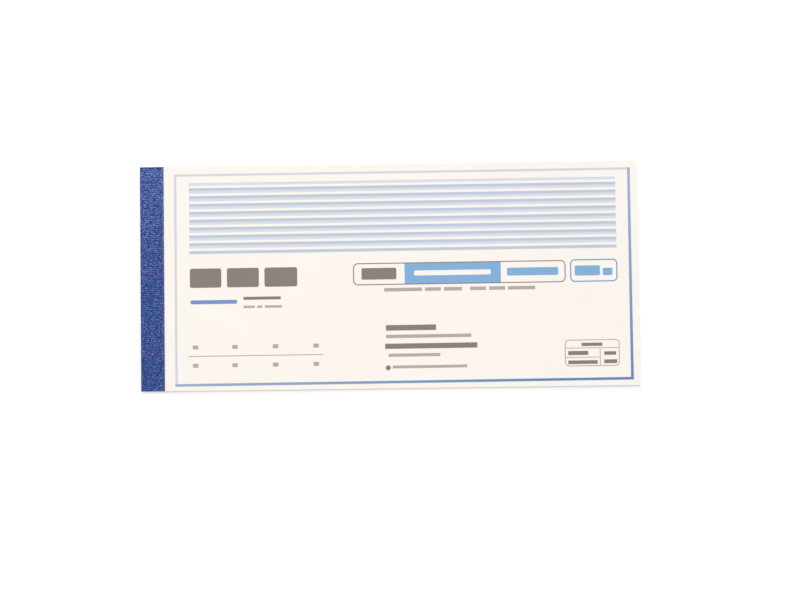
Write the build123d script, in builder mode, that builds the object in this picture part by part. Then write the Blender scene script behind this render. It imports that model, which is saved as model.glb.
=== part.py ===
from build123d import *
import os

# Duplicate receipt book, bound along its left edge with wire stitches and a cloth tape.
# X runs from the spine to the fore edge, Y from the foot to the head, Z up from the table.
# The origin is under the middle of the book. All sizes are in millimetres.

# Overall sizes of the book
book_width = 188.0
book_height = 85.0

# Pad of sheets: each set is a receipt on top of its copy, and set 1 is the uppermost
set_count = 35
loose_set_count = 8  # sets whose receipt is parted from its margin, ready to be torn off
receipt_thickness = 0.065
copy_thickness = 0.065

# Covers
cover_thickness = 0.22
board_thickness = 0.6
score_width = 0.4  # groove pressed into the board beside the tape
score_depth = 0.15

# Cloth tape folded round the spine
tape_width = 9.0
tape_thickness = 0.18

# Fold line, where each sheet leaves the tape
fold_gap = 0.1

# Perforation of the receipts
margin_width = 4.0  # strip of a receipt that stays in the book
perforation_pitch = 2.0
perforation_cut = 1.3
perforation_width = 0.25

# Wire stitches
stitch_count = 2
stitch_spacing = 40.0
stitch_setback = 4.5  # from the spine's outer face to the wire
crown_span = 10.0  # between the middles of the two legs
clinch_length = 3.5
wire_diameter = 0.45
wire_clearance = 0.03
bend_slack = 0.025  # how far the wire's bend is opened beyond its own radius

# Places across the book
spine_x = -book_width / 2
fore_x = book_width / 2
bound_x = spine_x + tape_thickness
tape_edge_x = spine_x + tape_width
leaf_x = tape_edge_x + fold_gap
perforation_x = leaf_x + margin_width
stitch_x = spine_x + stitch_setback

# Heights of the layers
board_z = tape_thickness
pad_z = board_z + board_thickness
set_thickness = receipt_thickness + copy_thickness
cover_z = pad_z + set_count * set_thickness
stack_top_z = cover_z + cover_thickness
book_thickness = stack_top_z + tape_thickness

# Heights of the wire: its crown is pressed flush with the cover, its ends flush with the board
wire_radius = wire_diameter / 2
crown_z = stack_top_z - wire_radius
clinch_z = board_z + wire_radius
crown_floor_z = stack_top_z - wire_diameter - wire_clearance
clinch_roof_z = board_z + wire_diameter + wire_clearance
leg_y = crown_span / 2
bend_radius = wire_radius + bend_slack
hole_radius = wire_radius + wire_clearance
slot_width = 2 * hole_radius
crown_slot_length = crown_span + slot_width
clinch_slot_length = clinch_length + slot_width
clinch_slot_y = leg_y - clinch_length / 2
perforation_count = int(book_height // perforation_pitch)

os.makedirs("parts", exist_ok=True)


def copy_bottom(number):
    """Height of the underside of a set's copy. Set 1 is the uppermost."""
    return pad_z + (set_count - number) * set_thickness


def receipt_bottom(number):
    """Height of the underside of a set's receipt, which lies on its copy."""
    return copy_bottom(number) + copy_thickness


def cut_perforation():
    """The row of perforation cuts, in the sketch that is open."""
    with Locations((perforation_x, 0)):
        with GridLocations(0, perforation_pitch, 1, perforation_count):
            Rectangle(perforation_width, perforation_cut, mode=Mode.SUBTRACT)


def cut_leg_holes():
    """Holes for the legs of the stitches, in the sketch that is open."""
    with GridLocations(0, stitch_spacing, 1, stitch_count):
        with Locations((stitch_x, leg_y), (stitch_x, -leg_y)):
            Circle(hole_radius, mode=Mode.SUBTRACT)


def draw_strip(start_x, end_x):
    """A rectangle of the book's full height between two X positions, in the sketch that is open."""
    with Locations(((start_x + end_x) / 2, 0)):
        Rectangle(end_x - start_x, book_height)


def draw_clinch_slots(mode):
    """Slots of the bent-in ends of the stitches, in the sketch that is open."""
    with GridLocations(0, stitch_spacing, 1, stitch_count):
        with Locations((stitch_x, clinch_slot_y), (stitch_x, -clinch_slot_y)):
            Rectangle(slot_width, clinch_slot_length, mode=mode)


# Outlines of the leaves: whole, whole with the perforation, and the two parts that it makes
with BuildSketch() as leaf_outline:
    draw_strip(leaf_x, fore_x)

with BuildSketch() as perforated_outline:
    draw_strip(leaf_x, fore_x)
    cut_perforation()

with BuildSketch() as margin_outline:
    draw_strip(leaf_x, perforation_x)
    cut_perforation()

with BuildSketch() as torn_outline:
    draw_strip(perforation_x, fore_x)
    cut_perforation()

# Outlines of the strips under the tape: most have only the holes for the legs, the upper ones
# are slotted for the crowns, and any that the bent-in ends reach are slotted for those
with BuildSketch() as strip_outline:
    draw_strip(bound_x, tape_edge_x)
    cut_leg_holes()

with BuildSketch() as crown_strip_outline:
    draw_strip(bound_x, tape_edge_x)
    with GridLocations(0, stitch_spacing, 1, stitch_count):
        with Locations((stitch_x, 0)):
            Rectangle(slot_width, crown_slot_length, mode=Mode.SUBTRACT)

with BuildSketch() as clinch_strip_outline:
    draw_strip(bound_x, tape_edge_x)
    cut_leg_holes()
    draw_clinch_slots(Mode.SUBTRACT)


def sheet(outline, bottom_z, thickness):
    """A flat sheet of a given outline and thickness, at its height in the book."""
    with BuildPart() as flat_sheet:
        with BuildSketch(Plane.XY.offset(bottom_z)):
            add(outline.sketch)
        extrude(amount=thickness)
    return flat_sheet.part


def bound_strip(bottom_z, thickness):
    """The strip of one sheet or cover that stays under the tape, cleared for the stitches."""
    outline = strip_outline
    if bottom_z + thickness > crown_floor_z:
        outline = crown_strip_outline
    elif bottom_z < clinch_roof_z:
        outline = clinch_strip_outline
    return sheet(outline, bottom_z, thickness)


def write_piece(piece, name):
    """Names a finished piece and writes it to its own file."""
    piece.label = name
    export_step(piece, f"parts/{name}.step")


# Stiff board at the back, with pockets for the bent-in wire ends and a score beside the tape
with BuildPart() as back_cover:
    with BuildSketch(Plane.XY.offset(board_z)):
        draw_strip(bound_x, fore_x)
        cut_leg_holes()
    extrude(amount=board_thickness)
    with BuildSketch(Plane.XY.offset(board_z)):
        draw_clinch_slots(Mode.ADD)
    extrude(amount=min(clinch_roof_z, pad_z) - board_z, mode=Mode.SUBTRACT)
    with BuildSketch(Plane.XY.offset(board_z)):
        draw_strip(tape_edge_x, tape_edge_x + score_width)
    extrude(amount=score_depth, mode=Mode.SUBTRACT)
back_cover.part.label = "back_cover"
export_step(back_cover.part, "parts/back_cover.step")

# Cloth tape: one strip over the front, round the spine and under the back
with BuildPart() as binding_tape:
    with BuildSketch(Plane.XZ):
        with Locations((spine_x + tape_width / 2, book_thickness / 2)):
            Rectangle(tape_width, book_thickness)
        with Locations((bound_x + tape_width / 2, book_thickness / 2)):
            Rectangle(tape_width, stack_top_z - board_z, mode=Mode.SUBTRACT)
    extrude(amount=book_height / 2, both=True)
    spine_edges = binding_tape.edges().filter_by(Axis.Y).group_by(Axis.X)[0]
    fillet(spine_edges, radius=tape_thickness)
binding_tape.part.label = "binding_tape"
export_step(binding_tape.part, "parts/binding_tape.step")

# Wire stitches through the whole pad, with their ends bent in under the board
with BuildPart() as wire_stitches:
    for stitch in range(stitch_count):
        middle_y = (stitch - (stitch_count - 1) / 2) * stitch_spacing
        with BuildLine(Plane.YZ.offset(stitch_x)) as wire_path:
            FilletPolyline(
                (middle_y - leg_y + clinch_length, clinch_z),
                (middle_y - leg_y, clinch_z),
                (middle_y - leg_y, crown_z),
                (middle_y + leg_y, crown_z),
                (middle_y + leg_y, clinch_z),
                (middle_y + leg_y - clinch_length, clinch_z),
                radius=bend_radius,
            )
        with BuildSketch(Plane(origin=wire_path.line @ 0, z_dir=wire_path.line % 0)):
            Circle(wire_radius)
        sweep(path=wire_path.line)
wire_stitches.part.label = "wire_stitches"
export_step(wire_stitches.part, "parts/wire_stitches.step")

# Front cover: the strip under the tape, and the leaf that opens
write_piece(bound_strip(cover_z, cover_thickness), "front_cover_stub")
write_piece(sheet(leaf_outline, cover_z, cover_thickness), "front_cover")

# Bound strips of all the sheets, in two interleaved stacks
all_sets = range(1, set_count + 1)
receipt_strips = [bound_strip(receipt_bottom(number), receipt_thickness) for number in all_sets]
write_piece(Compound(children=receipt_strips), "receipt_stubs")
copy_strips = [bound_strip(copy_bottom(number), copy_thickness) for number in all_sets]
write_piece(Compound(children=copy_strips), "copy_stubs")

# Leaves of the pad: the upper sets have their receipt parted along the perforation
for number in all_sets:
    receipt_z = receipt_bottom(number)
    copy_leaf = sheet(leaf_outline, copy_bottom(number), copy_thickness)
    if number <= loose_set_count:
        write_piece(copy_leaf, f"copy_{number:02d}")
        write_piece(sheet(margin_outline, receipt_z, receipt_thickness), f"receipt_margin_{number:02d}")
        write_piece(sheet(torn_outline, receipt_z, receipt_thickness), f"receipt_{number:02d}")
    else:
        receipt = sheet(perforated_outline, receipt_z, receipt_thickness)
        write_piece(Compound(children=[copy_leaf, receipt]), f"set_{number:02d}")

print(f"book {book_width} x {book_height} x {book_thickness:.3f} mm")
print(f"fold line at X {leaf_x - fold_gap / 2:.3f}, Z {book_thickness:.3f}")
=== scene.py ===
"""Looks of a duplicate receipt book: embossed cloth tape, printed cover, receipts, copies and board."""

import math

import bpy
from bpy.props import FloatProperty, FloatVectorProperty, PointerProperty
from bpy.types import Operator, Panel, PropertyGroup
from mathutils import Color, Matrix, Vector


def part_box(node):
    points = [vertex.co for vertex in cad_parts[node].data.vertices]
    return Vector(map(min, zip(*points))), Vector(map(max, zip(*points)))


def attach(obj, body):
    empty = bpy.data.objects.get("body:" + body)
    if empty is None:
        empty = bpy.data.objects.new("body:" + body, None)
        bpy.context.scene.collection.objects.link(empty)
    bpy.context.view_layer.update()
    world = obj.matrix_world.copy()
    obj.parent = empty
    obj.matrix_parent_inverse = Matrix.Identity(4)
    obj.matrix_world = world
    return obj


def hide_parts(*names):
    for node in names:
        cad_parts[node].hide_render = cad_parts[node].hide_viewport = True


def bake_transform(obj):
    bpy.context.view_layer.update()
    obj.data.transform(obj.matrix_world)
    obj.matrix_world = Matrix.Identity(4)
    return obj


bl_info = {
    "name": "Receipt Book",
    "version": (1, 0, 0),
    "blender": (4, 5, 0),
    "location": "View3D > Sidebar > Receipt Book",
    "description": "Dresses the packed solids of a duplicate receipt book",
    "category": "Object",
}

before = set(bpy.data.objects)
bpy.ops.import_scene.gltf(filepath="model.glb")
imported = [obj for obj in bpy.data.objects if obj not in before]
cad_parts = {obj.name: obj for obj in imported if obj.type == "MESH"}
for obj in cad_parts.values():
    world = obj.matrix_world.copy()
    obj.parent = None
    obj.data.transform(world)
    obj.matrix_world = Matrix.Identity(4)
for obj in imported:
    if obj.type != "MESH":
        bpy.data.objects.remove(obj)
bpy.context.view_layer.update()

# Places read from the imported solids, in metres
TAPE_LOW, TAPE_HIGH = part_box("binding_tape")
STUB_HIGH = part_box("front_cover_stub")[1]
COVER_LOW, COVER_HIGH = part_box("front_cover")
LOWEST_SET_LOW, LOWEST_SET_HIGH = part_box("set_35")
TAPE_WALL = TAPE_HIGH.z - STUB_HIGH.z
SHEET_PITCH = (LOWEST_SET_HIGH.z - LOWEST_SET_LOW.z) / 2
SET_COUNT = 35
LOOSE_SET_COUNT = 8  # sets whose receipts tear off
MILLIMETRES = 1000.0
SCREEN_WHITE = 255.0
WHITE = (1.0, 1.0, 1.0, 1.0)


def shown(red, green, blue):
    """The linear colour that a screen shows as these 0 to 255 values."""
    screen = Color([value / SCREEN_WHITE for value in (red, green, blue)])
    return (*screen.from_srgb_to_scene_linear(), 1.0)


def colour_setting(name, description, red, green, blue):
    """A colour that a user can change, with the colour on a screen as its default."""
    return FloatVectorProperty(
        name=name,
        description=description,
        subtype="COLOR",
        size=4,
        min=0.0,
        max=1.0,
        default=shown(red, green, blue),
    )


def number_setting(name, description, default, **kind):
    """A number that a user can change."""
    return FloatProperty(name=name, description=description, default=default, **kind)


def length_setting(name, description, millimetres):
    """A length that a user can change, given in millimetres and kept in metres."""
    return number_setting(name, description, millimetres / MILLIMETRES, unit="LENGTH", precision=6)


class TapeSettings(PropertyGroup):
    """Cloth tape round the spine."""

    grain_length: length_setting("Grain Length", "Length of the embossed ridges across the tape", 0.5)
    grain_width: length_setting("Grain Width", "Width of the embossed ridges along the spine", 0.36)
    rib_pitch: length_setting("Rib Pitch", "Distance between the cloth's ribs along the spine", 0.72)
    grain_depth: length_setting("Grain Depth", "Height of the emboss from groove to ridge", 0.06)
    grid_step: length_setting("Grid Step", "Spacing of the mesh that carries the emboss", 0.155)
    spine_radius: length_setting("Spine Radius", "Rounding where the tape turns round the spine", 0.4)
    seed: number_setting("Seed", "Place in the noise that makes the emboss", 4.0)
    # Ridge is a painted highlight on the raised cloth of the emboss, together with the cloth's rubbed wear.
    ridge: colour_setting("Ridge", "Blue of the raised, rubbed cloth", 122, 148, 206)
    cloth: colour_setting("Cloth", "Blue of the cloth", 18, 60, 126)
    # Groove is painted shade in the grooves of the emboss.
    groove: colour_setting("Groove", "Blue in the grooves of the emboss", 6, 32, 94)
    violet: colour_setting("Violet", "Tint of the dye where it took unevenly", 56, 58, 136)
    frayed: colour_setting("Frayed", "Undyed thread that shows at the tape's cut edge", 185, 150, 125)


class CoverSettings(PropertyGroup):
    """Front cover and its print."""

    clearance: length_setting("Clearance", "Air between the cover and the first receipt", 0.004)
    lift: length_setting("Lift", "How far the fore edge stands off the pad", 0.25)
    corner_lift: length_setting("Corner Lift", "How much further the corners stand off", 0.3)
    paper: colour_setting("Paper", "Warm white of the cover", 241, 235, 228)
    slate: colour_setting("Slate Ink", "Dark grey of the title and label places", 126, 115, 108)
    ash: colour_setting("Ash Ink", "Light grey of rules and small places", 170, 162, 154)
    sky: colour_setting("Sky Ink", "Blue of the label block", 119, 166, 207)
    accent: colour_setting("Accent Ink", "Blue of the small title and the count box", 104, 138, 194)
    stripe: colour_setting("Stripe Ink", "Dark upper band of each stripe", 178, 190, 208)
    mist: colour_setting("Mist Ink", "Pale lower band of each stripe", 209, 213, 222)
    haze: colour_setting("Haze Ink", "Pale left and top frame lines", 203, 204, 214)
    line: colour_setting("Line Ink", "Blue of the right and bottom frame lines", 86, 127, 178)


class PageSettings(PropertyGroup):
    """Receipts and copies."""

    receipt: colour_setting("Receipt Paper", "White of the receipts", 240, 240, 236)
    receipt_tint: colour_setting("Receipt Tint", "Pale ground inside the receipt's frame", 222, 232, 238)
    receipt_ink: colour_setting("Receipt Ink", "Lines of the receipt's form", 70, 118, 160)
    amount_tint: colour_setting("Amount Tint", "Ground of the amount box", 196, 216, 226)
    copy: colour_setting("Copy Paper", "Pale pink of the copies", 240, 222, 218)
    copy_ink: colour_setting("Copy Ink", "Lines of the copy's form", 176, 104, 100)
    copy_tint: colour_setting("Copy Tint", "Ground of the copy's amount box", 232, 202, 198)


class BackSettings(PropertyGroup):
    """Board at the back and wire stitches."""

    board: colour_setting("Board", "Grey of the board", 168, 158, 143)
    dark_fleck: colour_setting("Dark Fleck", "Dark fibres in the board", 118, 108, 96)
    pale_fleck: colour_setting("Pale Fleck", "Pale fibres in the board", 205, 198, 186)
    wire: colour_setting("Wire", "Galvanised wire", 205, 206, 208)
    tarnish: colour_setting("Tarnish", "Dull drawing marks on the wire", 168, 167, 163)


class StageSettings(PropertyGroup):
    """Camera, floor and lights."""

    azimuth: number_setting("Azimuth", "Camera's turn round the book", math.radians(-0.758), subtype="ANGLE")
    elevation: number_setting("Elevation", "Camera's height over it", math.radians(85.0), subtype="ANGLE")
    distance: number_setting("Distance", "Camera to target", 1.2, unit="LENGTH")
    lens: number_setting("Lens", "Focal length in millimetres", 142.96)
    target: FloatVectorProperty(
        name="Target", description="Point in the middle of the view", subtype="XYZ", size=3,
        default=(0.0038, -0.00899, 0.003), precision=5,
    )
    floor: colour_setting("Floor", "Pale floor", 222, 222, 222)
    floor_glow: number_setting("Floor Glow", "Light of the floor itself, as of a light table", 0.42)
    key_power: number_setting("Key Power", "Light from the upper left, in watts", 6.95)
    fill_power: number_setting("Fill Power", "Light from the lower left, in watts", 1.2)
    sky_power: number_setting("Sky Power", "Even light from all around", 0.7)


# The Mix node has sockets for each kind of data. These are the ones for its factor and two colours.
MIX_INPUTS = (0, 6, 7)
MIX_OUTPUT = 2


class Bench:
    """Adds nodes to one tree, for shading or for shapes, and joins them."""

    def __init__(self, tree):
        self.tree = tree
        self.enter = None
        self.leave = None

    def feed(self, socket, value):
        """Links a socket, or sets it to a plain value."""
        if isinstance(value, bpy.types.NodeSocket):
            self.tree.links.new(value, socket)
        else:
            socket.default_value = value

    def fill(self, node, **inputs):
        """Feeds a node's sockets by name, with _ for a blank."""
        for name, value in inputs.items():
            self.feed(node.inputs[name.replace("_", " ")], value)

    def add(self, kind, settings=None, **inputs):
        """A node with its settings made and its sockets fed."""
        made = self.tree.nodes.new(kind)
        for name, value in (settings or {}).items():
            setattr(made, name, value)
        self.fill(made, **inputs)
        return made

    def out(self, kind, settings=None, **inputs):
        """What a new node puts out first."""
        return self.add(kind, settings, **inputs).outputs[0]

    def worked(self, kind, settings, values):
        """What a node makes of values that are fed to its sockets in order."""
        made = self.add(kind, settings)
        for socket, value in zip(made.inputs, values):
            self.feed(socket, value)
        return made.outputs[0]

    def math(self, operation, *values, clamp=False):
        """One step of arithmetic on numbers."""
        return self.worked("ShaderNodeMath", {"operation": operation, "use_clamp": clamp}, values)

    def vector(self, operation, *values):
        """One step of arithmetic on positions."""
        return self.worked("ShaderNodeVectorMath", {"operation": operation}, values)

    def scaled(self, colour, factor):
        """A colour or a direction times one number."""
        made = self.add("ShaderNodeVectorMath", {"operation": "SCALE"}, Scale=factor)
        self.feed(made.inputs[0], colour)
        return made.outputs[0]

    def xyz(self, **parts):
        """A position put together from its parts."""
        return self.out("ShaderNodeCombineXYZ", **parts)

    def parts(self, place):
        """The parts of a position, by X, Y and Z."""
        return self.add("ShaderNodeSeparateXYZ", Vector=place).outputs

    def spread(self, value, low, high, start=0.0, end=1.0):
        """Maps a value from one range to another and keeps it there."""
        ranges = {"From_Min": low, "From_Max": high, "To_Min": start, "To_Max": end}
        return self.out("ShaderNodeMapRange", {"clamp": True}, Value=value, **ranges)

    def tint(self, amount, first, second):
        """Mixes two colours."""
        made = self.add("ShaderNodeMix", {"data_type": "RGBA"})
        for number, value in zip(MIX_INPUTS, (amount, first, second)):
            self.feed(made.inputs[number], value)
        return made.outputs[MIX_OUTPUT]

    def most(self, *masks):
        """The strongest of several masks."""
        top = masks[0]
        for mask in masks[1:]:
            top = self.math("MAXIMUM", top, mask)
        return top

    def noise(self, place, grains, detail):
        """Noise from 0 to 1, with its grains to the metre, in one number or one for each axis."""
        if isinstance(grains, tuple):
            place = self.vector("MULTIPLY", place, grains)
            grains = 1.0
        return self.out("ShaderNodeTexNoise", Vector=place, Scale=grains, Detail=detail)

    def relief(self, height, strength, depth):
        """The normal of a relief, with its depth in metres."""
        return self.out("ShaderNodeBump", Height=height, Strength=strength, Distance=depth)

    def place(self):
        """Where a point of the surface is, in metres."""
        return self.add("ShaderNodeTexCoord").outputs["Object"]

    def carried(self, name):
        """A value that the mesh carries to its material."""
        return self.add("ShaderNodeAttribute", {"attribute_name": name}).outputs["Fac"]

    def stored(self, shape, name, value, **inputs):
        """A shape whose points carry a value."""
        settings = {"data_type": "FLOAT", "domain": "POINT"}
        inputs.update(Geometry=shape, Name=name, Value=value)
        return self.out("GeometryNodeStoreNamedAttribute", settings, **inputs)

    def finished(self, shape):
        """A shape of real faces only, in the material that the tree is given."""
        whole = self.out("GeometryNodeRealizeInstances", Geometry=shape)
        return self.out("GeometryNodeSetMaterial", Geometry=whole, Material=self.take("Material"))

    def use(self, build, **inputs):
        """The outputs of a shader group that is placed in this tree."""
        return self.add("ShaderNodeGroup", {"node_tree": kept_group(build)}, **inputs).outputs

    def take(self, name):
        """An input of the group that this tree is."""
        return self.enter.outputs[name]

    def give(self, **outputs):
        """Feeds the outputs of the group that this tree is."""
        self.fill(self.leave, **outputs)


SOCKETS = {
    "value": "NodeSocketFloat",
    "count": "NodeSocketInt",
    "shape": "NodeSocketGeometry",
    "material": "NodeSocketMaterial",
}


def group_bench(name, kind, inputs, outputs):
    """A new node group with named sockets, ready to be filled."""
    tree = bpy.data.node_groups.new(name, kind)
    for way, sockets in (("INPUT", inputs), ("OUTPUT", outputs)):
        for socket, what in sockets.items():
            tree.interface.new_socket(socket, in_out=way, socket_type=SOCKETS[what])
    bench = Bench(tree)
    bench.enter = tree.nodes.new("NodeGroupInput")
    bench.leave = tree.nodes.new("NodeGroupOutput")
    return bench


def value_bench(name, inputs, outputs):
    """A new shader group whose sockets are all numbers."""
    values = [dict.fromkeys(sockets, "value") for sockets in (inputs, outputs)]
    return group_bench(name, "ShaderNodeTree", *values)


def kept_group(build):
    """The node group that a function builds, named after it and built when it is first asked for."""
    name = build.__name__.removeprefix("build_").replace("_", " ").title()
    return bpy.data.node_groups.get(name) or build(name)


def kept_material(paint, settings):
    """The material that a function paints, named after it and made when it is first asked for."""
    material = bpy.data.materials.get(paint.__name__)
    if material is None:
        material = bpy.data.materials.new(paint.__name__)
        material.use_nodes = True
        material.node_tree.nodes.clear()
        bench = Bench(material.node_tree)
        output = bench.add("ShaderNodeOutputMaterial")
        shader = bench.add("ShaderNodeBsdfPrincipled")
        bench.feed(output.inputs["Surface"], shader.outputs["BSDF"])
        paint(bench, shader, settings)
    return material


FACING = 0.5  # how far a face has to look up or down to count as the front or the back of a sheet


def build_book_place(name):
    """Where a point is on the book, in millimetres from the spine, from the head and from the table."""
    bench = value_bench(name, (), ("Across", "Down", "Up", "Face", "Back"))
    surface = bench.add("ShaderNodeTexCoord").outputs
    place = bench.parts(surface["Object"])
    upward = bench.parts(surface["Normal"])["Z"]
    bench.give(
        Across=bench.math("MULTIPLY_ADD", place["X"], MILLIMETRES, -TAPE_LOW.x * MILLIMETRES),
        Down=bench.math("MULTIPLY_ADD", place["Y"], -MILLIMETRES, TAPE_HIGH.y * MILLIMETRES),
        Up=bench.math("MULTIPLY", place["Z"], MILLIMETRES),
        Face=bench.math("GREATER_THAN", upward, FACING),
        Back=bench.math("LESS_THAN", upward, -FACING),
    )
    return bench.tree


PRINT_EDGE = 0.09  # millimetres over which the edge of a printed mark fades
PLACE = ("Across", "Down")
SIDES = ("Left", "Right", "Top", "Bottom")
BOX_SIZES = SIDES + ("Radius", "Line")
SPANS = (("Left", "Right", "Across"), ("Top", "Bottom", "Down"))


def inked(bench, away):
    """Ink of a mark at a distance outside its edge."""
    return bench.math("MULTIPLY_ADD", away, -1.0 / PRINT_EDGE, 0.5, clamp=True)


def build_printed_bar(name):
    """A filled rectangle of ink. All places are in millimetres."""
    bench = value_bench(name, PLACE + SIDES, ("Fill",))
    beyond = []
    for start, end, where in SPANS:
        beyond.append(bench.math("SUBTRACT", bench.take(start), bench.take(where)))
        beyond.append(bench.math("SUBTRACT", bench.take(where), bench.take(end)))
    bench.give(Fill=inked(bench, bench.most(*beyond)))
    return bench.tree


def build_printed_box(name):
    """A rectangle with round corners, as a fill and as a drawn line. All places are in millimetres."""
    bench = value_bench(name, PLACE + BOX_SIZES, ("Fill", "Outline"))
    radius = bench.take("Radius")
    beyond = []
    for start, end, where in SPANS:
        total = bench.math("ADD", bench.take(start), bench.take(end))
        offset = bench.math("MULTIPLY_ADD", total, -0.5, bench.take(where))
        half = bench.math("MULTIPLY", bench.math("SUBTRACT", bench.take(end), bench.take(start)), 0.5)
        straight = bench.math("SUBTRACT", half, radius)
        beyond.append(bench.math("SUBTRACT", bench.math("ABSOLUTE", offset), straight))
    across, down = [bench.math("MAXIMUM", part, 0.0) for part in beyond]
    square = bench.math("MULTIPLY_ADD", across, across, bench.math("MULTIPLY", down, down))
    inner = bench.math("MINIMUM", bench.math("MAXIMUM", *beyond), 0.0)
    away = bench.math("SUBTRACT", bench.math("ADD", bench.math("SQRT", square), inner), radius)
    half_line = bench.math("MULTIPLY", bench.take("Line"), 0.5)
    from_middle = bench.math("ABSOLUTE", bench.math("ADD", away, half_line))
    from_line = bench.math("SUBTRACT", from_middle, half_line)
    bench.give(Fill=inked(bench, away), Outline=inked(bench, from_line))
    return bench.tree


class Ink:
    """Masks of printed marks, each mark a row of sizes in the order of the printed box's inputs."""

    def __init__(self, bench, where):
        self.bench = bench
        self.where = where

    def mark(self, build, row):
        """The masks of one mark."""
        return self.bench.use(build, **self.where, **dict(zip(BOX_SIZES, row)))

    def bars(self, *rows):
        """Bars with square corners."""
        return self.bench.most(*[self.mark(build_printed_bar, row)["Fill"] for row in rows])

    def boxes(self, *rows):
        """Filled boxes with round corners."""
        return self.bench.most(*[self.mark(build_printed_box, row)["Fill"] for row in rows])

    def outlines(self, *rows):
        """Boxes with round corners, drawn as a line."""
        return self.bench.most(*[self.mark(build_printed_box, row)["Outline"] for row in rows])


STRIPE_SLOPE = 0.2  # fade of a stripe that grows evenly downwards
STRIPE_STEP = (0.4, 0.6, 0.0, 0.8)  # fade at the step between the dark and the pale band
STRIPE_CRISPNESS = 24.0  # how steep a stripe's own edges are


def build_shaded_stripes(name):
    """Stripes that are crisp at their upper edge and fade downwards. All places are in millimetres."""
    window_sizes = PLACE + SIDES
    bench = value_bench(name, window_sizes + ("First Edge", "Pitch", "Share"), ("Fill", "Fade"))
    window = bench.use(build_printed_bar, **{size: bench.take(size) for size in window_sizes})
    share = bench.take("Share")
    from_edge = bench.math("SUBTRACT", bench.take("Down"), bench.take("First Edge"))
    phase = bench.math("FLOORED_MODULO", bench.math("DIVIDE", from_edge, bench.take("Pitch")), 1.0)
    part = bench.math("DIVIDE", phase, share)
    fade = bench.math("MULTIPLY_ADD", part, STRIPE_SLOPE, bench.spread(part, *STRIPE_STEP))
    stripe = window["Fill"]
    for inside in (phase, bench.math("SUBTRACT", share, phase)):
        side = bench.math("MULTIPLY", inside, STRIPE_CRISPNESS, clamp=True)
        stripe = bench.math("MULTIPLY", stripe, side)
    bench.give(Fill=stripe, Fade=bench.math("MINIMUM", fade, 1.0))
    return bench.tree


# Noise is given as its grains to the metre and its layers of detail, a range as what it maps from and to,
# and a relief as its strength and its depth in metres
PAPER_CLOUDS = (70.0, 3.0)
PAPER_FIBRES = ((1700.0, 3740.0, 1700.0), 4.0)
PAPER_RELIEF = (0.25, 0.00003)
FIBRE_RANGE = (0.2, 0.8)
ROUGHNESS_PLAY = 0.06  # how far the roughness of paper goes up and down with its fibres


def build_paper_fibre(name):
    """Clouds and fibres of paper, as a tone near 1 and as a height."""
    bench = value_bench(name, ("Strength",), ("Tone", "Height"))
    place = bench.place()
    clouds = bench.noise(place, *PAPER_CLOUDS)
    fibres = bench.noise(place, *PAPER_FIBRES)
    both = bench.math("SUBTRACT", bench.math("ADD", clouds, fibres), 1.0)
    bench.give(Tone=bench.math("MULTIPLY_ADD", both, bench.take("Strength"), 1.0), Height=fibres)
    return bench.tree


def rough_paper(bench, shader, colour, strength, roughness):
    """Gives a paper its fibre: clouds in the colour, a faint relief and an uneven gloss."""
    fibre = bench.use(build_paper_fibre, Strength=strength)
    smoothest, roughest = roughness - ROUGHNESS_PLAY, roughness + ROUGHNESS_PLAY
    bench.fill(
        shader,
        Base_Color=bench.scaled(colour, fibre["Tone"]),
        Roughness=bench.spread(fibre["Height"], *FIBRE_RANGE, smoothest, roughest),
        Normal=bench.relief(fibre["Height"], *PAPER_RELIEF),
    )


EDGE_STREAKS = ((45.0, 45.0, 5200.0), 3.0)
EDGE_BANDS = ((18.0, 18.0, 1300.0), 2.0)
STREAK_SHADE = (0.3, 0.75, 0.0, 0.22)
BAND_SHADE = (0.35, 0.7, 0.0, 0.14)
HAIRLINE_SHADE = (0.34, 0.5, 0.0, 0.45)
HAIRLINE_BREAKS = (0.25, 0.6)
EDGE_SHADE = 0.85  # how strong the shades are at a cut edge
EDGE_TONE = 0.93  # tone of a cut edge where no shade is on it


def build_page_edge(name):
    """Cut edges of stacked sheets: painted shade as a dark hairline between sheets, and as streaks along
    them.
    """
    bench = value_bench(name, ("Up",), ("Tone", "Sheet"))
    place = bench.place()
    above = bench.math("SUBTRACT", bench.take("Up"), LOWEST_SET_LOW.z * MILLIMETRES)
    count = bench.math("DIVIDE", above, SHEET_PITCH * MILLIMETRES)
    phase = bench.math("FLOORED_MODULO", count, 1.0)
    from_middle = bench.math("ABSOLUTE", bench.math("SUBTRACT", phase, 0.5))
    hairline = bench.spread(from_middle, *HAIRLINE_SHADE)
    streaks = bench.noise(place, *EDGE_STREAKS)
    bands = bench.noise(place, *EDGE_BANDS)
    # Painted shade in streaks and bands along the cut edges.
    edge_streak_shade = bench.math("ADD", bench.spread(streaks, *STREAK_SHADE), bench.spread(bands, *BAND_SHADE))
    dark = bench.math("MULTIPLY_ADD", hairline, bench.spread(streaks, *HAIRLINE_BREAKS), edge_streak_shade)
    pair = bench.math("FLOORED_MODULO", bench.math("MULTIPLY", count, 0.5), 1.0)
    bench.give(
        Tone=bench.math("MULTIPLY_ADD", dark, -EDGE_SHADE, EDGE_TONE, clamp=True),
        Sheet=bench.math("GREATER_THAN", pair, 0.5),
    )
    return bench.tree


# Form of the receipts. Bars are left, right, top and bottom in millimetres from the spine and the head.
RECEIPT_RULES = (
    (80.0, 122.0, 14.0, 14.45),
    (80.0, 122.0, 14.8, 15.0),
    (27.0, 100.0, 25.2, 25.55),
    (138.0, 177.0, 11.6, 11.85),
    (138.0, 177.0, 18.2, 18.45),
    (40.0, 160.0, 49.0, 49.3),
    (49.0, 92.0, 61.3, 61.55),
    (49.0, 92.0, 68.6, 68.85),
    (63.0, 63.25, 54.0, 76.0),
    (100.0, 166.0, 60.0, 60.25),
    (100.0, 166.0, 67.2, 67.45),
    (100.0, 166.0, 74.4, 74.65),
)
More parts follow.
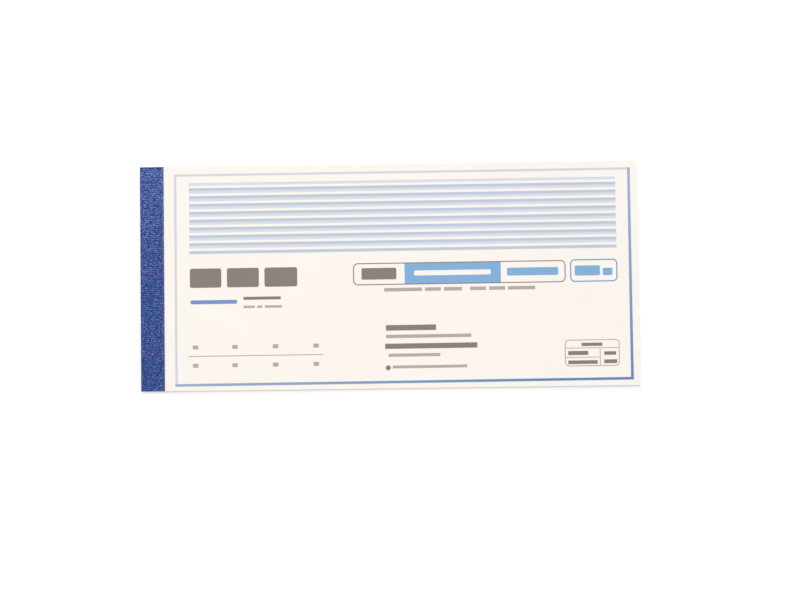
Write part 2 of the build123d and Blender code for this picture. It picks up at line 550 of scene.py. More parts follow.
# Boxes have their corner radius as well, and those that are drawn have their line
GROUND_BOX = (19.2, 182.3, 6.2, 78.8, 0.8, 0.2)
RECEIPT_BOXES = (
    (18.0, 183.5, 5.0, 80.0, 1.5, 0.55),
    GROUND_BOX,
    (49.0, 92.0, 54.0, 76.0, 0.4, 0.3),
    (168.5, 177.5, 62.5, 71.5, 4.5, 0.25),
)
AMOUNT_BOX = (40.0, 160.0, 29.5, 42.5, 1.2, 0.55)
STAMP_BOX = (24.0, 43.0, 54.0, 76.0, 0.6, 0.3)
# Lines at an even pitch are given as that pitch, how far their ink reaches and how strong it is
AMOUNT_COLUMNS = (12.0, 0.2, 0.55)
WAVES = (1.5, 0.22, 0.6)
FULL_INK = 0.1  # millimetres from the middle of such a line to where its ink starts to fade
WAVE_HEIGHT = 0.7
WAVE_LENGTH = 9.0
DASH_PITCH = 1.6
DASH_LENGTH = 0.96


def ruled(bench, where, pitch, reach, ink):
    """Lines at an even pitch, half a pitch away from the start."""
    half = pitch / 2
    return bench.spread(bench.math("PINGPONG", where, half), half - reach, half - FULL_INK, 0.0, ink)


def build_receipt_form(name):
    """Ruled form of a receipt: lines, the amount box's ground, and the wavy ground inside the frame."""
    bench = value_bench(name, PLACE, ("Lines", "Amount", "Ground", "Waves"))
    across, down = [bench.take(key) for key in PLACE]
    ink = Ink(bench, {"Across": across, "Down": down})
    amount = ink.mark(build_printed_box, AMOUNT_BOX)
    ground = ink.boxes(GROUND_BOX)
    first_column = AMOUNT_BOX[0] + AMOUNT_COLUMNS[0] / 2
    columns = ruled(bench, bench.math("SUBTRACT", across, first_column), *AMOUNT_COLUMNS)
    walk = bench.math("FLOORED_MODULO", bench.math("ADD", across, down), DASH_PITCH)
    dashes = bench.math("LESS_THAN", walk, DASH_LENGTH)
    roll = bench.math("SINE", bench.math("MULTIPLY", across, math.tau / WAVE_LENGTH))
    waves = ruled(bench, bench.math("MULTIPLY_ADD", roll, WAVE_HEIGHT, down), *WAVES)
    lines = bench.most(
        ink.bars(*RECEIPT_RULES),
        ink.outlines(*RECEIPT_BOXES),
        amount["Outline"],
        bench.math("MULTIPLY", columns, amount["Fill"]),
        bench.math("MULTIPLY", ink.outlines(STAMP_BOX), dashes),
    )
    bench.give(Lines=lines, Amount=amount["Fill"], Ground=ground, Waves=bench.math("MULTIPLY", waves, ground))
    return bench.tree


def one_line(top, bottom, *spans):
    """Bars that stand in one line, from where each one starts and ends."""
    return tuple((left, right, top, bottom) for left, right in spans)


# Print of the cover, in the same terms as the form
PALE_FRAME = ((12.95, 13.85, 2.0, 82.4), (12.95, 185.8, 2.0, 2.85))
RIGHT_FRAME = (184.75, 185.8, 2.0, 82.4)
RIGHT_FADE = (2.0, 82.4, 0.48, 0.0)
BOTTOM_FRAME = (12.95, 185.8, 81.4, 82.4)
BOTTOM_FADE = (13.0, 150.0, 0.4, 0.0)
STRIPES = {
    "Left": 18.6, "Right": 180.2, "Top": 5.41, "Bottom": 32.45,
    "First_Edge": 7.31, "Pitch": 2.984, "Share": 0.725,
}
LABEL_BOX = (80.4, 160.8, 36.8, 45.2, 1.9, 0.4)
LABEL_BLOCK = (99.9, 136.3, 36.9, 45.1)
COUNT_BOX = (162.5, 180.4, 36.6, 45.2, 1.8, 0.45)
TABLE_BOX = (159.95, 180.65, 67.0, 77.1, 1.6, 0.34)
SLATE_BOXES = (
    (18.7, 30.6, 37.9, 45.2, 0.8),
    (32.7, 44.8, 37.9, 45.2, 0.8),
    (46.9, 59.3, 37.9, 45.2, 0.8),
    (83.6, 96.8, 38.7, 43.1, 0.6),
    (92.35, 94.25, 75.55, 77.45, 0.95),
)
ACCENT_BOX = (18.9, 36.5, 49.9, 51.4, 0.5)
SKY_BOXES = (
    (138.6, 158.0, 39.4, 42.4, 0.6),
    (164.2, 173.8, 39.0, 42.8, 0.6),
    (174.8, 178.5, 40.0, 42.8, 0.5),
)
WHITE_BOX = (103.5, 132.5, 39.9, 41.8, 0.6)
SLATE_BARS = (
    (38.9, 53.0, 48.85, 50.0),
    (92.6, 111.5, 60.4, 62.5),
    (92.2, 127.0, 67.4, 69.4),
    (166.3, 174.2, 68.25, 69.5),
    (161.2, 168.8, 71.3, 72.85),
    (161.2, 172.3, 74.85, 76.25),
    (174.8, 179.3, 71.6, 72.95),
    (174.75, 179.65, 74.65, 76.1),
)
ASH_BARS = (
    *one_line(52.2, 53.1, (38.9, 43.2), (44.1, 46.0), (46.9, 53.5)),
    *one_line(46.35, 47.7, (92.1, 106.4), (107.5, 113.5), (114.7, 121.5)),
    *one_line(46.35, 47.7, (124.6, 130.6), (131.8, 137.8), (138.9, 149.2)),
    (92.6, 124.8, 64.05, 65.35),
    (93.45, 113.0, 71.2, 72.4),
    (95.0, 123.1, 75.7, 76.8),
    (18.05, 68.8, 70.9, 71.25),
    (160.05, 180.55, 70.05, 70.35),
    (160.05, 173.4, 73.55, 73.85),
    (173.15, 173.45, 70.1, 77.0),
)
DATE_MARKS = tuple(
    (left, left + 2.1, top, top + 1.5) for left in (19.6, 34.5, 49.8, 65.1) for top in (66.95, 73.85)
)
# Register of the print on the sheet: a little low, turned and drawn in
PRINT_DROP = 1.0
PRINT_TURN = 0.00264
PRINT_STRETCH = 1.0025


def print_place(bench, place):
    """Where a point of the sheet is in the print, in millimetres."""
    drop = bench.math("MULTIPLY_ADD", place["Across"], PRINT_TURN, -PRINT_DROP)
    return {
        "Across": bench.math("MULTIPLY", place["Across"], PRINT_STRETCH),
        "Down": bench.math("ADD", place["Down"], drop),
    }


# Finish of each paper, as the strength of its fibre and its roughness
COVER_FINISH = (0.05, 0.5)
RECEIPT_FINISH = (0.05, 0.62)
COPY_FINISH = (0.06, 0.66)
SET_FINISH = (0.05, 0.64)
COVER_GLOSS = 0.35


def cover_paper(bench, shader, settings):
    """Warm white cover with its blue frame, shaded stripes, label boxes and rules."""
    place = bench.use(build_book_place)
    where = print_place(bench, place)
    ink = Ink(bench, where)
    stripes = bench.use(build_shaded_stripes, **where, **STRIPES)
    stripe_ink = bench.tint(stripes["Fade"], settings.stripe, settings.mist)
    right_ink = bench.tint(bench.spread(place["Down"], *RIGHT_FADE), settings.line, settings.haze)
    bottom_ink = bench.tint(bench.spread(place["Across"], *BOTTOM_FADE), settings.line, settings.haze)
    slate = bench.most(ink.bars(*SLATE_BARS), ink.boxes(*SLATE_BOXES), ink.outlines(LABEL_BOX))
    layers = (
        (stripes["Fill"], stripe_ink),
        (ink.bars(*PALE_FRAME), settings.haze),
        (ink.bars(RIGHT_FRAME), right_ink),
        (ink.bars(BOTTOM_FRAME), bottom_ink),
        (bench.most(ink.outlines(COUNT_BOX), ink.boxes(ACCENT_BOX)), settings.accent),
        (bench.most(ink.bars(LABEL_BLOCK), ink.boxes(*SKY_BOXES)), settings.sky),
        (ink.boxes(WHITE_BOX), settings.paper),
        (slate, settings.slate),
        (bench.most(ink.bars(*ASH_BARS, *DATE_MARKS), ink.outlines(TABLE_BOX)), settings.ash),
    )
    colour = settings.paper
    for mask, tint in layers:
        colour = bench.tint(mask, colour, tint)
    colour = bench.tint(place["Face"], settings.paper, colour)
    rough_paper(bench, shader, colour, *COVER_FINISH)
    bench.fill(shader, Specular_IOR_Level=COVER_GLOSS)


def form_colour(bench, place, paper, ground, amount, ink):
    """A sheet's colour with the receipt form printed on its upper face."""
    form = bench.use(build_receipt_form, Across=place["Across"], Down=place["Down"])
    colour = paper
    for part, tint in (("Ground", ground), ("Waves", amount), ("Amount", amount), ("Lines", ink)):
        colour = bench.tint(form[part], colour, tint)
    return bench.tint(place["Face"], paper, colour)


def receipt_colour(bench, place, settings):
    """White paper with a pale ground and blue form lines."""
    tints = (settings.receipt_tint, settings.amount_tint, settings.receipt_ink)
    return form_colour(bench, place, settings.receipt, *tints)


def edged(bench, place, colour, tone):
    """Darkens the cut edges of a sheet with painted shade, where it lies against the next one."""
    flat = bench.math("MAXIMUM", place["Face"], place["Back"])
    return bench.scaled(colour, bench.math("MAXIMUM", tone, flat))


def receipt_paper(bench, shader, settings):
    """White receipts with the form on top."""
    place = bench.use(build_book_place)
    edge = bench.use(build_page_edge, Up=place["Up"])
    colour = receipt_colour(bench, place, settings)
    rough_paper(bench, shader, edged(bench, place, colour, edge["Tone"]), *RECEIPT_FINISH)


def copy_paper(bench, shader, settings):
    """Pale pink carbonless paper with the same form in one ink."""
    place = bench.use(build_book_place)
    edge = bench.use(build_page_edge, Up=place["Up"])
    colour = form_colour(bench, place, settings.copy, settings.copy, settings.copy_tint, settings.copy_ink)
    rough_paper(bench, shader, edged(bench, place, colour, edge["Tone"]), *COPY_FINISH)


def set_paper(bench, shader, settings):
    """A receipt on its copy: the form on top, pink under it, and both at the cut edges."""
    place = bench.use(build_book_place)
    edge = bench.use(build_page_edge, Up=place["Up"])
    not_back = bench.math("SUBTRACT", 1.0, place["Back"])
    upper = bench.math("MAXIMUM", bench.math("MULTIPLY", edge["Sheet"], not_back), place["Face"])
    colour = bench.tint(upper, settings.copy, receipt_colour(bench, place, settings))
    rough_paper(bench, shader, edged(bench, place, colour, edge["Tone"]), *SET_FINISH)


FOLD_PARTING = (0.48, 0.52)  # where in the fold's thickness pink ends and white begins
FOLD_EDGE_TONE = (0.0, 0.06, 1.0, 0.76)  # painted shade of the fold's cut ends, like that of the page edges: tone from the fold's two faces into its cut ends


def fold_paper(bench, shader, settings):
    """A receipt on its copy where they bend: white above and pink below, however they are turned, with
    painted shade on the cut ends.
    """
    upper = bench.carried("upper")
    colour = bench.tint(bench.spread(upper, *FOLD_PARTING), settings.copy, settings.receipt)
    # Painted shade darkens the fold's cut ends.
    cut = bench.spread(bench.math("PINGPONG", upper, 0.5), *FOLD_EDGE_TONE)
    rough_paper(bench, shader, bench.scaled(colour, cut), *SET_FINISH)


DYE_CLOUDS = (160.0, 2.0)
DYE_RANGE = (0.38, 0.7, 0.0, 0.8)
GROOVE_RANGE = (0.08, 0.5)
THREADS = ((3000.0, 3600.0, 3000.0), 2.0)
THREAD_RELIEF = (0.5, 0.00004)
# Specks are painted glints: small pale flecks of light on the cloth.
SPECKS = (3200.0, 1.0)
SPECK_RANGE = (0.6, 0.74)
RUBBED_PLACES = (48.0, 2.0)
FRAYED_THREADS = (900.0, 2.0)
FRAY_RANGE = (0.3, 0.7, 0.06, 0.28)
# How much each of these adds to the light on the cloth, and the sum that counts as even
THREAD_LIGHT = 1.6
SPECK_LIGHT = 0.6
GRAIN_LIGHT = 0.6
RUBBED_LIGHT = 0.16
TURN_LIGHT = -0.05
EVEN_LIGHT = 1.24
# Light and dark differ more towards the head, from this place on, in metres from the middle of the spine
CONTRAST_START = -0.006
CONTRAST = (2.2, 6.4)
MIDDLE_LIGHT = (0.58, 0.42)
RIDGE_RANGE = (0.8, 1.5)
TAPE_ROUGHNESS = (0.1, 0.9, 0.72, 0.46)
TAPE_GLOSS = 0.22


def cloth_tape(bench, shader, settings):
    """Deep blue embossed cloth: painted highlights on the ridges, painted shade in the grooves, uneven dye
    and some frayed thread.
    """
    place = bench.place()
    grain = bench.carried("grain")
    clouds = bench.noise(place, *DYE_CLOUDS)
    threads = bench.noise(place, *THREADS)
    specks = bench.spread(bench.noise(place, *SPECKS), *SPECK_RANGE)
    rubbed = bench.noise(place, *RUBBED_PLACES)
    dye = bench.tint(bench.spread(clouds, *DYE_RANGE), settings.cloth, settings.violet)
    # Painted shade: the cloth darkens towards the grooves of the emboss.
    low = bench.tint(bench.spread(grain, *GROOVE_RANGE), settings.groove, dye)
    lights = (
        (threads, THREAD_LIGHT),
        (specks, SPECK_LIGHT),
        (grain, GRAIN_LIGHT),
        (rubbed, RUBBED_LIGHT),
        (bench.carried("turn"), TURN_LIGHT),
    )
    light = -EVEN_LIGHT
    for part, share in lights:
        light = bench.math("MULTIPLY_ADD", part, share, light)
    along = bench.parts(place)["Y"]
    contrast = bench.spread(along, CONTRAST_START, TAPE_HIGH.y, *CONTRAST)
    middle = bench.spread(along, CONTRAST_START, TAPE_HIGH.y, *MIDDLE_LIGHT)
    light = bench.math("MULTIPLY_ADD", light, contrast, middle)
    # Painted highlight: where the painted light is strong, the cloth turns to the pale ridge blue.
    colour = bench.tint(bench.spread(light, *RIDGE_RANGE), low, settings.ridge)
    loose = bench.spread(bench.noise(place, *FRAYED_THREADS), *FRAY_RANGE)
    fray = bench.math("MULTIPLY", bench.carried("fray"), loose)
    bench.fill(
        shader,
        Base_Color=bench.tint(fray, colour, settings.frayed),
        Roughness=bench.spread(grain, *TAPE_ROUGHNESS),
        Normal=bench.relief(threads, *THREAD_RELIEF),
        Specular_IOR_Level=TAPE_GLOSS,
    )


BOARD_CLOUDS = (55.0, 4.0)
BOARD_TONE = (0.3, 0.7, 0.9, 1.08)
BOARD_ROUGHNESS = (0.3, 0.7, 0.78, 0.92)
BOARD_RELIEF = (0.35, 0.00006)
LONG_FIBRES = ((260.0, 900.0, 900.0), 3.0)
CROSS_FIBRES = ((820.0, 230.0, 900.0), 3.0)
DARK_FLECKS = (0.58, 0.72, 0.0, 0.7)
PALE_FLECKS = (0.58, 0.7, 0.0, 0.65)


def back_board(bench, shader, settings):
    """Grey board of pressed waste paper, with dark and pale fibres."""
    place = bench.place()
    clouds = bench.noise(place, *BOARD_CLOUDS)
    long_fibres = bench.noise(place, *LONG_FIBRES)
    cross_fibres = bench.noise(place, *CROSS_FIBRES)
    colour = bench.tint(bench.spread(long_fibres, *DARK_FLECKS), settings.board, settings.dark_fleck)
    colour = bench.tint(bench.spread(cross_fibres, *PALE_FLECKS), colour, settings.pale_fleck)
    bench.fill(
        shader,
        Base_Color=bench.scaled(colour, bench.spread(clouds, *BOARD_TONE)),
        Roughness=bench.spread(clouds, *BOARD_ROUGHNESS),
        Normal=bench.relief(bench.math("ADD", long_fibres, cross_fibres), *BOARD_RELIEF),
    )


DRAWING_MARKS = ((6000.0, 500.0, 500.0), 3.0)
TARNISH_RANGE = (0.35, 0.65)
WIRE_ROUGHNESS = (0.3, 0.7, 0.26, 0.44)


def stitch_wire(bench, shader, settings):
    """Galvanised steel wire with faint drawing marks."""
    marks = bench.noise(bench.place(), *DRAWING_MARKS)
    bench.fill(
        shader,
        Base_Color=bench.tint(bench.spread(marks, *TARNISH_RANGE), settings.tarnish, settings.wire),
        Roughness=bench.spread(marks, *WIRE_ROUGHNESS),
        Metallic=1.0,
    )


FLOOR_ROUGHNESS = 0.9


def pale_floor(bench, shader, settings):
    """Even pale floor that is lit a little from below."""
    bench.fill(
        shader,
        Base_Color=settings.floor,
        Roughness=FLOOR_ROUGHNESS,
        Emission_Color=WHITE,
        Emission_Strength=settings.floor_glow,
    )


def grow(name, build, values, start=None):
    """Runs a shape tree once and keeps the result as a plain mesh."""
    tree = kept_group(build)
    holder = bpy.data.objects.new(f"{name}_holder", start or bpy.data.meshes.new(f"{name}_start"))
    bpy.context.scene.collection.objects.link(holder)
    shape = holder.modifiers.new("Shape", "NODES")
    shape.node_group = tree
    for item in tree.interface.items_tree:
        if item.in_out == "INPUT" and item.name in values:
            shape[item.identifier] = values[item.name]
    depsgraph = bpy.context.evaluated_depsgraph_get()
    evaluated = holder.evaluated_get(depsgraph)
    mesh = bpy.data.meshes.new_from_object(evaluated, preserve_all_data_layers=True, depsgraph=depsgraph)
    holder.modifiers.remove(shape)
    bpy.data.objects.remove(holder)
    mesh.name = name
    piece = bpy.data.objects.new(name, mesh)
    bpy.context.scene.collection.objects.link(piece)
    return piece


EMBOSS_DETAIL = 1.0  # layers of detail in the noise of the emboss
PIP_SHARE = 0.7  # pips to one ridge along the spine
SWAY_GRAINS = 300.0
RIB_SWAY = 5.0  # how far the ribs wander, in radians of their wave
RIDGE_HEIGHT = 0.65
PIP_HEIGHT = 0.35
RIB_HEIGHT = 0.08
EMBOSS_RANGE = (0.3, 0.7)


def build_embossed_tape(name):
    """Sweeps the tape's section along the spine and presses the cloth grain into its outer face."""
    sizes = ("Half Height", "Grain Length", "Grain Width", "Rib Pitch", "Grain Depth", "Seed")
    inputs = {"Section": "shape", **dict.fromkeys(sizes, "value"), "Rows": "count", "Material": "material"}
    bench = group_bench(name, "GeometryNodeTree", inputs, {"Tape": "shape"})
    section = bench.out("GeometryNodeMeshToCurve", Mesh=bench.take("Section"))
    head = bench.xyz(Y=bench.take("Half Height"))
    foot = bench.xyz(Y=bench.math("MULTIPLY", bench.take("Half Height"), -1.0))
    spine = bench.out("GeometryNodeCurvePrimitiveLine", Start=foot, End=head)
    rows = bench.out("GeometryNodeResampleCurve", {"mode": "COUNT"}, Curve=spine, Count=bench.take("Rows"))
    upright = bench.out("GeometryNodeSetCurveNormal", {"mode": "Z_UP"}, Curve=rows)
    swept = bench.out("GeometryNodeCurveToMesh", Curve=upright, Profile_Curve=section, Fill_Caps=True)
    tape = bench.out("GeometryNodeFlipFaces", Mesh=swept)
    place = bench.out("GeometryNodeInputPosition")
    seed = bench.take("Seed")
    moved = bench.vector("ADD", place, bench.xyz(X=seed, Y=seed, Z=seed))
    across = bench.math("DIVIDE", 1.0, bench.take("Grain Length"))
    along = bench.math("DIVIDE", 1.0, bench.take("Grain Width"))
    ridge_place = bench.vector("MULTIPLY", moved, bench.xyz(X=across, Y=along, Z=across))
    ridges = bench.noise(ridge_place, 1.0, EMBOSS_DETAIL)
    pips = bench.noise(moved, bench.math("MULTIPLY", along, PIP_SHARE), EMBOSS_DETAIL)
    sway = bench.math("MULTIPLY", bench.noise(moved, SWAY_GRAINS, EMBOSS_DETAIL), RIB_SWAY)
    turns = bench.math("DIVIDE", bench.parts(place)["Y"], bench.take("Rib Pitch"))
    ribs = bench.math("SINE", bench.math("MULTIPLY_ADD", turns, math.tau, sway))
    height = bench.math("MULTIPLY_ADD", ridges, RIDGE_HEIGHT, bench.math("MULTIPLY", pips, PIP_HEIGHT))
    height = bench.math("MULTIPLY_ADD", ribs, RIB_HEIGHT, height)
    grain = bench.spread(height, *EMBOSS_RANGE)
    outer = bench.out("GeometryNodeInputNamedAttribute", {"data_type": "FLOAT"}, Name="outer")
    depth = bench.math("MULTIPLY", outer, bench.take("Grain Depth"))
    raised = bench.math("MULTIPLY", bench.math("SUBTRACT", grain, 1.0), depth)
    offset = bench.scaled(bench.out("GeometryNodeInputNormal"), raised)
    marked = bench.stored(tape, "grain", grain)
    embossed = bench.out("GeometryNodeSetPosition", Geometry=marked, Offset=offset)
    smooth = bench.out("GeometryNodeSetShadeSmooth", Geometry=embossed)
    bench.give(Tape=bench.finished(smooth))
    return bench.tree


TURN_STEPS = 5  # faces in each quarter turn at the spine
WALL_FIT = 0.95  # share of the solid tape's wall that the cloth takes, clear of the sheets inside
EMBOSS_FADE = 2  # grid steps from the cut edge to the full emboss
TURN_REACH = 3  # spine radii from a turn to where its shade ends
FRAY_REACH = 0.0011  # metres from the tape's cut edge to where the fray ends


def tape_section(settings):
    """Outline of the tape across the spine, closed, with its outer face, turns and cut edges marked."""
    radius = settings.spine_radius
    step = settings.grid_step
    edge, spine = TAPE_HIGH.x, TAPE_LOW.x
    top, floor = TAPE_HIGH.z, TAPE_LOW.z
    bend = spine + radius
    flap = edge - bend
    rise = top - floor - 2 * radius
    flap_steps = round(flap / step)
    rise_steps = round(rise / step)
    angles = [math.pi / 2 * k / TURN_STEPS for k in range(TURN_STEPS)]
    outline = [(edge - flap * k / flap_steps, top) for k in range(flap_steps)]
    outline += [(bend - radius * math.sin(a), top - radius + radius * math.cos(a)) for a in angles]
    outline += [(spine, top - radius - rise * k / rise_steps) for k in range(rise_steps)]
    outline += [(bend - radius * math.cos(a), floor + radius - radius * math.sin(a)) for a in angles]
    outline += [(bend + flap * k / flap_steps, floor) for k in range(flap_steps + 1)]
    outer_count = len(outline)
    wall = TAPE_WALL * WALL_FIT
    inner, low, high = spine + wall, floor + wall, top - wall
    outline += [(edge, low), (inner, low), (inner, high), (edge, high)]
    mesh = bpy.data.meshes.new("tape_section")
    links = [(k, (k + 1) % len(outline)) for k in range(len(outline))]
    mesh.from_pydata([(x, -z, 0.0) for x, z in outline], links, [])
    marks = {"outer": [], "turn": [], "fray": []}
    for index, (x, z) in enumerate(outline):
        outside = 1.0 if index < outer_count else 0.0
        from_turn = min(abs(top - z), abs(z - floor)) + (x - spine)
        marks["outer"].append(outside * min(1.0, (edge - x) / (EMBOSS_FADE * step)))
        marks["turn"].append(outside * max(0.0, 1.0 - from_turn / (TURN_REACH * radius)))
        marks["fray"].append(max(0.0, 1.0 - (edge - x) / FRAY_REACH) ** 2)
    for name, values in marks.items():
        mesh.attributes.new(name, "FLOAT", "POINT").data.foreach_set("value", values)
    return mesh


# Powers that say how late the lift of a sheet begins towards its fore edge, its corners and its sides
EDGE_CURL = 3.0
CORNER_CURL = 8.0
SIDE_CURL = 3.0
WELD = 0.000001  # metres within which points of a sheet become one


def build_paper_sheet(name):
    """A thin sheet at its place, with its far edge and corners lifted a little."""
    sizes = ("Start", "End", "Half Height", "Bottom", "Thickness", "Lift", "Corner Lift")
    counts = dict.fromkeys(("Columns", "Rows"), "count")
    inputs = {**dict.fromkeys(sizes, "value"), **counts, "Material": "material"}
    bench = group_bench(name, "GeometryNodeTree", inputs, {"Sheet": "shape"})
    start, end, half_height, bottom, thickness, lift, corner_lift = [bench.take(size) for size in sizes]
    width = bench.math("SUBTRACT", end, start)
    grid = bench.out(
        "GeometryNodeMeshGrid", Size_X=width, Size_Y=bench.math("MULTIPLY", half_height, 2.0),
        Vertices_X=bench.take("Columns"), Vertices_Y=bench.take("Rows"),
    )
    place = bench.parts(bench.out("GeometryNodeInputPosition"))
    along = bench.math("ADD", bench.math("DIVIDE", place["X"], width), 0.5, clamp=True)
    to_side = bench.math("ABSOLUTE", bench.math("DIVIDE", place["Y"], half_height))
    at_edge = bench.math("MULTIPLY", bench.math("POWER", along, EDGE_CURL), lift)
    at_side = bench.math("POWER", to_side, SIDE_CURL)
    at_corner = bench.math("MULTIPLY", bench.math("POWER", along, CORNER_CURL), at_side)
    raised = bench.math("MULTIPLY_ADD", at_corner, corner_lift, at_edge)
    middle = bench.math("MULTIPLY", bench.math("ADD", start, end), 0.5)
    offset = bench.xyz(X=middle, Z=bench.math("ADD", raised, bottom))
    laid = bench.out("GeometryNodeSetPosition", Geometry=grid, Offset=offset)
    up = bench.xyz(Z=thickness)
    upper = bench.add("GeometryNodeExtrudeMesh", {"mode": "FACES"}, Mesh=laid, Offset=up, Individual=False)
    marked = bench.stored(upper.outputs["Mesh"], "upper", 1.0, Selection=upper.outputs["Top"])
    lower = bench.out("GeometryNodeFlipFaces", Mesh=laid)
    joined = bench.add("GeometryNodeJoinGeometry")
    for shape in (marked, lower):
        bench.feed(joined.inputs[0], shape)
    closed = bench.out("GeometryNodeMergeByDistance", Geometry=joined.outputs[0], Distance=WELD)
    bench.give(Sheet=bench.finished(closed))
    return bench.tree


TAPE_CREASE = math.radians(60)
PAPER_CREASE = math.radians(40)
COVER_GRID = (91, 43)  # points across the cover and down it
FOLD_GRID = (15, 2)
FOLD_THICKNESS = 1.92 * SHEET_PITCH  # a hair under two sheets, so that folds don't touch


def paper_sheet(name, start, end, bottom, thickness, material, grid, lift=0.0, corner_lift=0.0):
    """One sheet of the book's full height between two places across it."""
    values = {
        "Start": start, "End": end, "Half Height": TAPE_HIGH.y, "Bottom": bottom, "Thickness": thickness,
        "Lift": lift, "Corner Lift": corner_lift, "Columns": grid[0], "Rows": grid[1], "Material": material,
    }
    piece = grow(name, build_paper_sheet, values)
    piece.data.shade_smooth()
    piece.data.set_sharp_from_angle(angle=PAPER_CREASE)
    return piece


def numbered(name, first, last):
    """Names of the nodes of one kind, from one set to another."""
    return [f"{name}_{number:02d}" for number in range(first, last + 1)]


def finish_nodes(names, material):
    """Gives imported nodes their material."""
    for name in names:
        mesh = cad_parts[name].data
        mesh.materials.clear()
        mesh.materials.append(material)


def clear_packed_materials():
    """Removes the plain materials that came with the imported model, so that their names are free."""
    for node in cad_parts.values():
        node.data.materials.clear()
    for material in list(bpy.data.materials):
        bpy.data.materials.remove(material)


class RECEIPTBOOK_OT_tape(Operator):
    """Make the embossed cloth tape round the spine"""

    bl_idname = "receipt_book.tape"
    bl_label = "Make Tape"

    def execute(self, context):
        settings = context.scene.receipt_tape
        values = {
            "Half Height": TAPE_HIGH.y,
            "Rows": round((TAPE_HIGH.y - TAPE_LOW.y) / settings.grid_step) + 1,
            "Grain Length": settings.grain_length,
            "Grain Width": settings.grain_width,
            "Rib Pitch": settings.rib_pitch,
            "Grain Depth": settings.grain_depth,
            "Seed": settings.seed,
            "Material": kept_material(cloth_tape, settings),
        }
        tape = grow("tape_cloth", build_embossed_tape, values, tape_section(settings))
        tape.data.set_sharp_from_angle(angle=TAPE_CREASE)
        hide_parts("binding_tape")
        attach(tape, "binding")
        return {"FINISHED"}


class RECEIPTBOOK_OT_cover(Operator):
    """Make the printed front cover and finish the strip of it under the tape"""

    bl_idname = "receipt_book.cover"
    bl_label = "Make Cover"

    def execute(self, context):
        settings = context.scene.receipt_cover
        paper = kept_material(cover_paper, settings)
        bottom = COVER_LOW.z + settings.clearance
        cover = paper_sheet(
            "cover_sheet", COVER_LOW.x, COVER_HIGH.x, bottom, COVER_HIGH.z - bottom, paper, COVER_GRID,
            settings.lift, settings.corner_lift,
        )
        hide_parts("front_cover")
        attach(cover, "front_cover")
        finish_nodes(["front_cover_stub"], paper)
        return {"FINISHED"}


class RECEIPTBOOK_OT_pages(Operator):
    """Finish the receipts, their margins, the copies and the bound strips"""

    bl_idname = "receipt_book.pages"
    bl_label = "Finish Pages"

    def execute(self, context):
        settings = context.scene.receipt_pages
        receipts = numbered("receipt", 1, LOOSE_SET_COUNT) + numbered("receipt_margin", 1, LOOSE_SET_COUNT)
        copies = numbered("copy", 1, LOOSE_SET_COUNT)
        sets = numbered("set", LOOSE_SET_COUNT + 1, SET_COUNT)
        finish_nodes(["receipt_stubs", *receipts], kept_material(receipt_paper, settings))
        finish_nodes(["copy_stubs", *copies], kept_material(copy_paper, settings))
        finish_nodes(sets, kept_material(set_paper, settings))
        return {"FINISHED"}


class RECEIPTBOOK_OT_folds(Operator):
    """Make the folds where the cover and each set bend out of the tape"""

    bl_idname = "receipt_book.folds"
    bl_label = "Make Folds"

    def execute(self, context):
        both = kept_material(fold_paper, context.scene.receipt_pages)
        cover = kept_material(cover_paper, context.scene.receipt_cover)
        start, end = STUB_HIGH.x, COVER_LOW.x
        thickness = COVER_HIGH.z - COVER_LOW.z
        fold = paper_sheet("fold_cover", start, end, COVER_LOW.z, thickness, cover, FOLD_GRID)
        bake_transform(fold)
        for number in range(1, SET_COUNT + 1):
            bottom = LOWEST_SET_LOW.z + (SET_COUNT - number) * 2 * SHEET_PITCH
            fold = paper_sheet(f"fold_set_{number:02d}", start, end, bottom, FOLD_THICKNESS, both, FOLD_GRID)
            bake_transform(fold)
        return {"FINISHED"}


class RECEIPTBOOK_OT_back(Operator):
    """Finish the board at the back and the wire stitches"""

    bl_idname = "receipt_book.back"
    bl_label = "Finish Back"

    def execute(self, context):
        settings = context.scene.receipt_back
        finish_nodes(["back_cover"], kept_material(back_board, settings))
        finish_nodes(["wire_stitches"], kept_material(stitch_wire, settings))
        return {"FINISHED"}


# Stage, in metres, with the camera's sensor in millimetres
FLOOR_REACH = 6.0
KEY_SIZE = 0.9
KEY_PLACE = Vector((-0.1, 0.35, 1.25))
FILL_SIZE = 1.2
FILL_PLACE = Vector((-0.8, -0.3, 1.0))
SENSOR_WIDTH = 36.0
NEAR_LIMIT = 0.01


def placed(name, data, location, towards):
    """An object at a place that looks in a direction."""
    made = bpy.data.objects.new(name, data)
    made.location = location
    made.rotation_euler = towards.to_track_quat("-Z", "Y").to_euler()
    bpy.context.scene.collection.objects.link(made)
    return made


def soft_light(name, power, size, location):
    """A large square light that looks at the middle of the book."""
    lamp = bpy.data.lights.new(name, "AREA")
    lamp.shape = "SQUARE"
    lamp.size = size
    lamp.energy = power
    placed(name, lamp, location, -location)


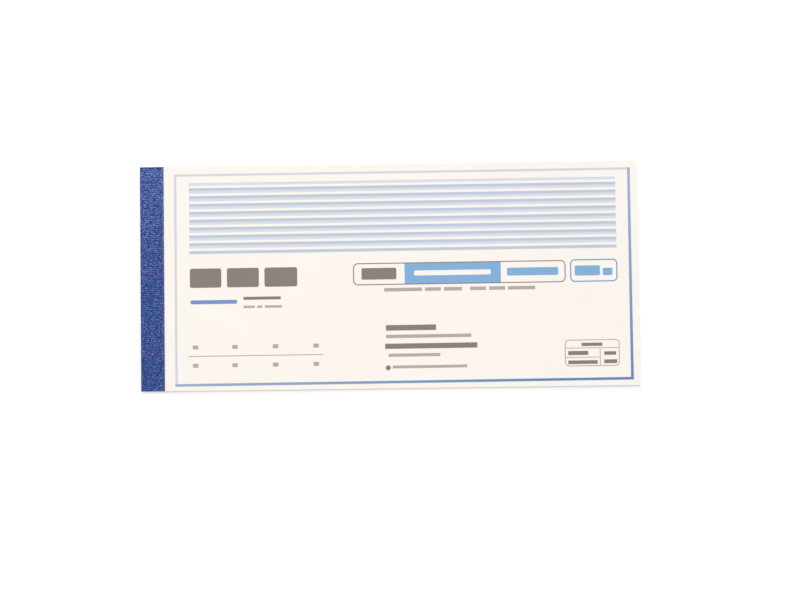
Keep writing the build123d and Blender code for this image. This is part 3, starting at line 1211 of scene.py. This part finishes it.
class RECEIPTBOOK_OT_stage(Operator):
    """Make the floor, the lights and the camera"""

    bl_idname = "receipt_book.stage"
    bl_label = "Set Stage"

    def execute(self, context):
        scene = context.scene
        settings = scene.receipt_stage
        mesh = bpy.data.meshes.new("floor")
        near, far = -FLOOR_REACH, FLOOR_REACH
        corners = [(near, near, 0.0), (far, near, 0.0), (far, far, 0.0), (near, far, 0.0)]
        mesh.from_pydata(corners, [], [(0, 1, 2, 3)])
        mesh.materials.append(kept_material(pale_floor, settings))
        floor = bpy.data.objects.new("floor", mesh)
        scene.collection.objects.link(floor)
        soft_light("key_light", settings.key_power, KEY_SIZE, KEY_PLACE)
        soft_light("fill_light", settings.fill_power, FILL_SIZE, FILL_PLACE)
        world = bpy.data.worlds.new("studio")
        world.use_nodes = True
        sky = world.node_tree.nodes["Background"]
        sky.inputs["Color"].default_value = WHITE
        sky.inputs["Strength"].default_value = settings.sky_power
        scene.world = world
        scene.view_settings.view_transform = "Standard"
        lens = bpy.data.cameras.new("photo_camera")
        lens.sensor_width = SENSOR_WIDTH
        lens.lens = settings.lens
        lens.clip_start = NEAR_LIMIT
        level = math.cos(settings.elevation)
        across = math.sin(settings.azimuth) * level
        along = -math.cos(settings.azimuth) * level
        back = Vector((across, along, math.sin(settings.elevation)))
        location = Vector(settings.target) + back * settings.distance
        scene.camera = placed("photo_camera", lens, location, -back)
        return {"FINISHED"}


class RECEIPTBOOK_PT_sidebar(Panel):
    """Lists the pieces of the receipt book and their settings"""

    bl_idname = "RECEIPTBOOK_PT_sidebar"
    bl_label = "Receipt Book"
    bl_space_type = "VIEW_3D"
    bl_region_type = "UI"
    bl_category = "Receipt Book"

    def draw(self, context):
        for operator, settings in OPERATORS.items():
            self.layout.operator(operator.bl_idname)
            group = getattr(context.scene, settings)
            for name in group.bl_rna.properties.keys():
                if name not in {"rna_type", "name"}:
                    self.layout.prop(group, name)


OPERATORS = {
    RECEIPTBOOK_OT_tape: "receipt_tape",
    RECEIPTBOOK_OT_cover: "receipt_cover",
    RECEIPTBOOK_OT_pages: "receipt_pages",
    RECEIPTBOOK_OT_folds: "receipt_pages",
    RECEIPTBOOK_OT_back: "receipt_back",
    RECEIPTBOOK_OT_stage: "receipt_stage",
}
SETTINGS = {
    "receipt_tape": TapeSettings,
    "receipt_cover": CoverSettings,
    "receipt_pages": PageSettings,
    "receipt_back": BackSettings,
    "receipt_stage": StageSettings,
}


def register():
    """Makes the settings, the operators and the panel known."""
    for name, group in SETTINGS.items():
        bpy.utils.register_class(group)
        setattr(bpy.types.Scene, name, PointerProperty(type=group))
    for operator in OPERATORS:
        bpy.utils.register_class(operator)
    bpy.utils.register_class(RECEIPTBOOK_PT_sidebar)


def unregister():
    """Takes the settings, the operators and the panel away again."""
    bpy.utils.unregister_class(RECEIPTBOOK_PT_sidebar)
    for operator in reversed(OPERATORS):
        bpy.utils.unregister_class(operator)
    for name, group in reversed(SETTINGS.items()):
        delattr(bpy.types.Scene, name)
        bpy.utils.unregister_class(group)


def main():
    """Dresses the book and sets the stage."""
    register()
    clear_packed_materials()
    bpy.ops.receipt_book.tape()
    bpy.ops.receipt_book.cover()
    bpy.ops.receipt_book.pages()
    bpy.ops.receipt_book.folds()
    bpy.ops.receipt_book.back()
    bpy.ops.receipt_book.stage()


if __name__ == "__main__":
    main()
